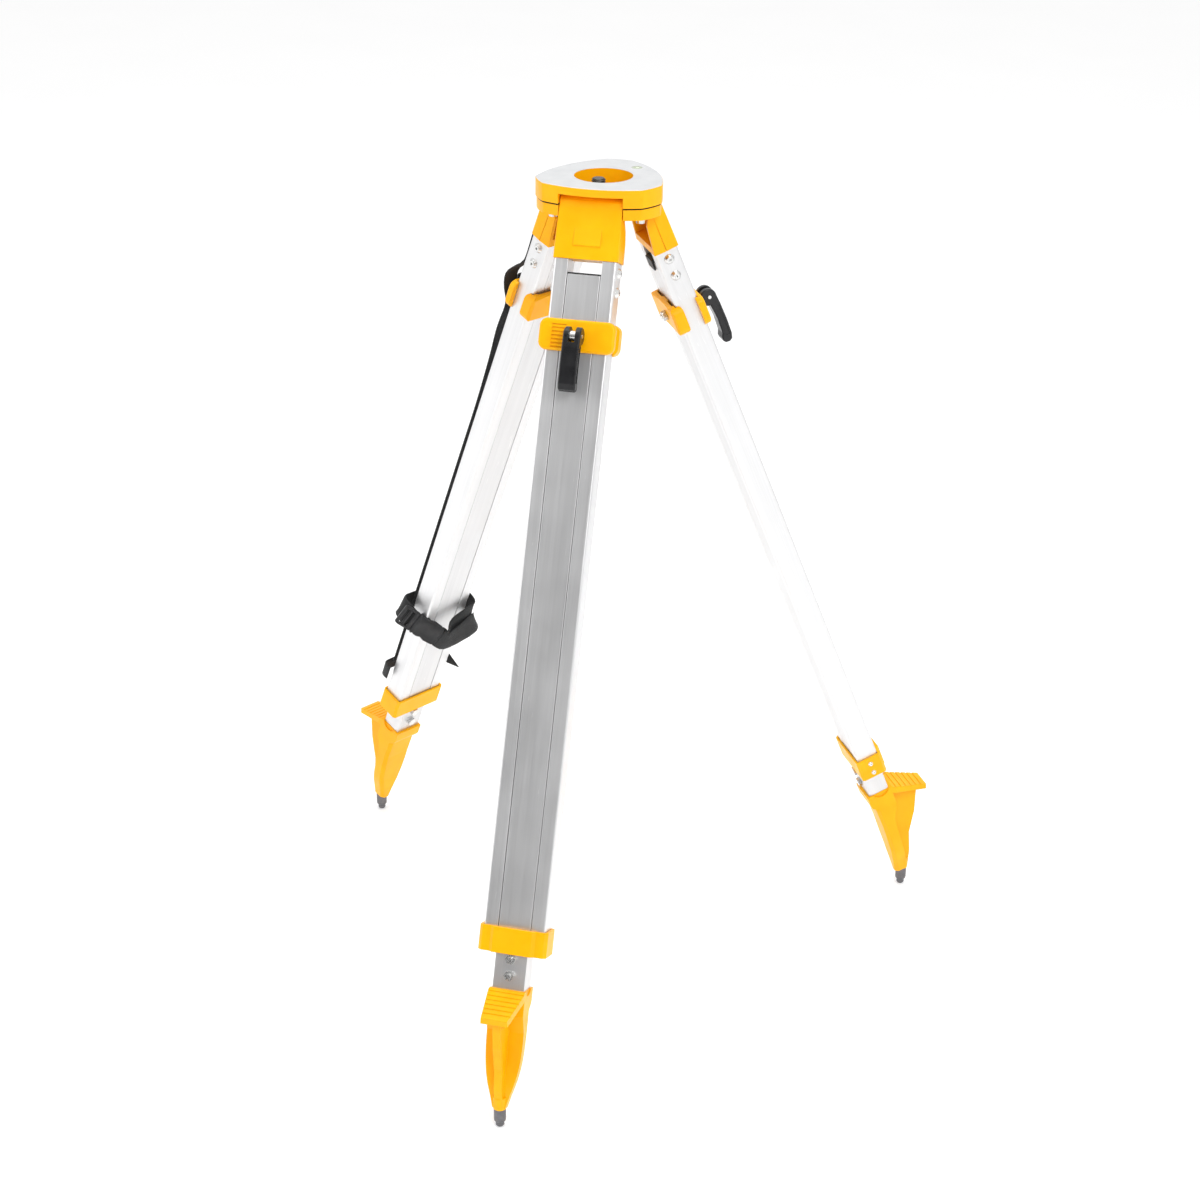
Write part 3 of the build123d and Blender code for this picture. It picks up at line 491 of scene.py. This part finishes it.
def rounded(x0, x1, y0, y1, r):
    """Outline of a rectangle with round corners."""
    return (arc(x1 - r, y1 - r, r, 0, 90, 4) + arc(x0 + r, y1 - r, r, 90, 180, 4)
            + arc(x0 + r, y0 + r, r, 180, 270, 4) + arc(x1 - r, y0 + r, r, 270, 360, 4))


z_axis = BUCKLE_LONG.cross(BUCKLE_WIDE)
to_buckle = Matrix((BUCKLE_LONG, BUCKLE_WIDE, z_axis)).transposed().to_4x4()
to_buckle.translation = BUCKLE_MID
TO_BUCKLE = LEFT @ to_buckle

shell = [(-30, -11), (-27, -13.5), (-12, -14.6), (-9, -12.2), (1, -11.4), (3, -14.2), (8, -14.0),
         (8, 14.0),
         (3, 14.2), (1, 11.4), (-9, 12.2), (-12, 14.6), (-27, 13.5), (-30, 11)]
buckle = outline_solid("buckle_shell", [(x * MM, y * MM) for x, y in shell], 8.0 * MM, 1.4 * MM, TO_BUCKLE,
                       BUCKLE, UPPER)
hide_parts("buckle")
for side in (-1, 1):
    wing = [(-10, 12.3), (-4, 14.6), (2, 14.4), (5, 10), (-8, 10)]
    if side < 0:
        wing = [(x, -y) for x, y in reversed(wing)]
    outline_solid(f"buckle_wing_{'ab'[side > 0]}", [(x * MM, y * MM) for x, y in wing], 5.0 * MM, 0.8 * MM,
                  TO_BUCKLE, BUCKLE, UPPER)
bar = [("buckle_tongue_root", 8.2, 14.0, -13.4, 13.4), ("buckle_ladder_mid", 18.6, 21.4, -12, 12),
       ("buckle_ladder_end", 26.4, 30.2, -13.0, 13.0),
       ("buckle_ladder_side_a", 13.0, 28.0, -13.6, -10.4),
       ("buckle_ladder_side_b", 13.0, 28.0, 10.4, 13.6)]
for name, x0, x1, y0, y1 in bar:
    outline_solid(name, [(x * MM, y * MM) for x, y in rounded(x0, x1, y0, y1, 1.2)], 5.0 * MM, 0.9 * MM,
                  TO_BUCKLE, BUCKLE, UPPER)

# ---------------------------------------------------------------- thread on the fixing screw

low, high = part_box("fixing_screw")
screw_x, screw_y = (low[0] + high[0]) / 2, (low[1] + high[1]) / 2
STUD_R, PITCH = 0.0079375, 0.0254 / 11
THREAD_DEPTH = 0.00125
CREST = 0.12             # share of half a pitch that stays flat at the crest and at the root
LEAD, LEAD_SLOPE = 0.0014, 1.25
FLANGE_TOP, FLANGE_FOOT, FLANGE_R, FLANGE_CHAMFER = -0.02585, -0.03045, 0.0100, 0.00025
SHANK_R = 0.006
STUD_TOP, STUD_FOOT = high[2], FLANGE_TOP
around, along = 48, 10
bm = bmesh.new()
rows = int((STUD_TOP - STUD_FOOT) / PITCH * along)
grid = []
for i in range(rows + 1):
    z = STUD_FOOT + (STUD_TOP - STUD_FOOT) * i / rows
    ring = []
    for j in range(around):
        phase = ((z - STUD_FOOT) / PITCH - j / around) % 1.0
        depth = THREAD_DEPTH * max(0.0, abs(phase - 0.5) * 2 - CREST) / (1 - CREST)
        lead = max(0.0, z - (STUD_TOP - LEAD))
        r = min(STUD_R - (THREAD_DEPTH - depth), STUD_R - 0.0001 - lead * LEAD_SLOPE)
        angle = 2 * math.pi * j / around
        ring.append(bm.verts.new((screw_x + r * math.cos(angle), screw_y + r * math.sin(angle), z)))
    grid.append(ring)
for a, b in zip(grid, grid[1:]):
    for j in range(around):
        k = (j + 1) % around
        bm.faces.new((a[j], a[k], b[k], b[j]))
bm.faces.new(grid[-1])
bm.faces.new(grid[0][::-1])
shank_profile = [(0.0, low[2]), (SHANK_R, low[2]), (SHANK_R, FLANGE_FOOT), (FLANGE_R, FLANGE_FOOT),
                 (FLANGE_R, FLANGE_TOP - FLANGE_CHAMFER), (FLANGE_R - FLANGE_CHAMFER, FLANGE_TOP),
                 (0.0, FLANGE_TOP)]
spun = []
for r, z in shank_profile:
    spun.append([bm.verts.new((screw_x + r * math.cos(2 * math.pi * j / around),
                               screw_y + r * math.sin(2 * math.pi * j / around), z))
                 for j in range(around)] if r else [bm.verts.new((screw_x, screw_y, z))])
for a, b in zip(spun, spun[1:]):
    for j in range(around):
        k = (j + 1) % around
        if len(a) == 1:
            bm.faces.new((a[0], b[k], b[j]))
        elif len(b) == 1:
            bm.faces.new((a[j], a[k], b[0]))
        else:
            bm.faces.new((a[j], a[k], b[k], b[j]))
thread = new_object("fixing_screw_thread", bm, SCREW_STEEL, False)
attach(thread, "fixing_screw")
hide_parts("fixing_screw")

# ---------------------------------------------------------------- camera, light and floor

FLOOR_Z = CAD_BOX[0][2]
FLOOR_HALF = 9.0
FLOOR_GAP = 0.0005
camera_data = bpy.data.cameras.new("camera")
camera_data.sensor_width = 36.0
camera_data.lens = 68.03
camera = bpy.data.objects.new("camera", camera_data)
forward = Vector((-0.22407, 0.87820, -0.42256)).normalized()
up = Vector((-0.11571, 0.40655, 0.90627))
right = forward.cross(up).normalized()
up = right.cross(forward)
pose = Matrix((right, up, -forward)).transposed().to_4x4()
pose.translation = (0.5994, -2.3437, 0.6205)
camera.matrix_world = pose
bpy.context.scene.collection.objects.link(camera)
bpy.context.scene.camera = camera

bm = bmesh.new()
bmesh.ops.create_grid(bm, x_segments=4, y_segments=4, size=FLOOR_HALF)
floor_mat = Nodes("studio_floor", Roughness=0.9)
cloud = floor_mat.noise(floor_mat.position(), 3.0)
tone = floor_mat.mix(cloud, (0.93, 0.93, 0.93, 1), (0.96, 0.96, 0.96, 1))
floor_mat.set(Base_Color=tone)
floor_mat.shader.inputs["Emission Color"].default_value = (1, 1, 1, 1)
floor_mat.shader.inputs["Emission Strength"].default_value = 0.16
floor = new_object("studio_floor", bm, floor_mat.mat, False)
floor.location.z = FLOOR_Z - FLOOR_GAP

# White studio with a dark card behind the camera, which the front leg mirrors.
# The camera itself sees white.
CARD = Vector((-0.24, -0.95, -0.05)).normalized()
CARD_EDGE, CARD_FULL = 0.50, 0.97
SKY_LEVEL, CARD_LEVEL = 0.88, 0.16

world = bpy.data.worlds.new("studio")
world.use_nodes = True
sky = world.node_tree
direction = sky.nodes.new("ShaderNodeTexCoord").outputs["Generated"]
facing = sky.nodes.new("ShaderNodeVectorMath")
facing.operation = "DOT_PRODUCT"
facing.inputs[1].default_value = CARD
sky.links.new(direction, facing.inputs[0])
falloff = sky.nodes.new("ShaderNodeMapRange")
falloff.interpolation_type = "SMOOTHSTEP"
for socket, value in zip(range(1, 5), (CARD_EDGE, CARD_FULL, SKY_LEVEL, CARD_LEVEL)):
    falloff.inputs[socket].default_value = value
sky.links.new(facing.outputs["Value"], falloff.inputs[0])
paper = sky.nodes.new("ShaderNodeMix")
sky.links.new(sky.nodes.new("ShaderNodeLightPath").outputs["Is Camera Ray"], paper.inputs[0])
sky.links.new(falloff.outputs[0], paper.inputs[2])
paper.inputs[3].default_value = 1.0
sky.links.new(paper.outputs[0], sky.nodes["Background"].inputs[1])
sky.nodes["Background"].inputs[0].default_value = (1.0, 1.0, 1.0, 1)
bpy.context.scene.world = world
bpy.context.scene.view_settings.view_transform = "Standard"


def area(name, place, target, size, power):
    """Rectangular lamp turned to face the target."""
    data = bpy.data.lights.new(name, "AREA")
    data.shape = "RECTANGLE"
    data.size, data.size_y = size
    data.energy = power
    lamp = bpy.data.objects.new(name, data)
    lamp.location = place
    lamp.rotation_euler = (Vector(target) - Vector(place)).to_track_quat("-Z", "Y").to_euler()
    bpy.context.scene.collection.objects.link(lamp)


area("key", (1.7, -2.1, 1.9), (0, 0, -0.45), (1.4, 1.4), 45)
area("fill", (-2.4, -1.4, 0.8), (0, 0, -0.45), (1.8, 2.2), 22)
area("top", (0.0, 0.4, 2.4), (0, 0, -0.3), (2.2, 2.2), 30)
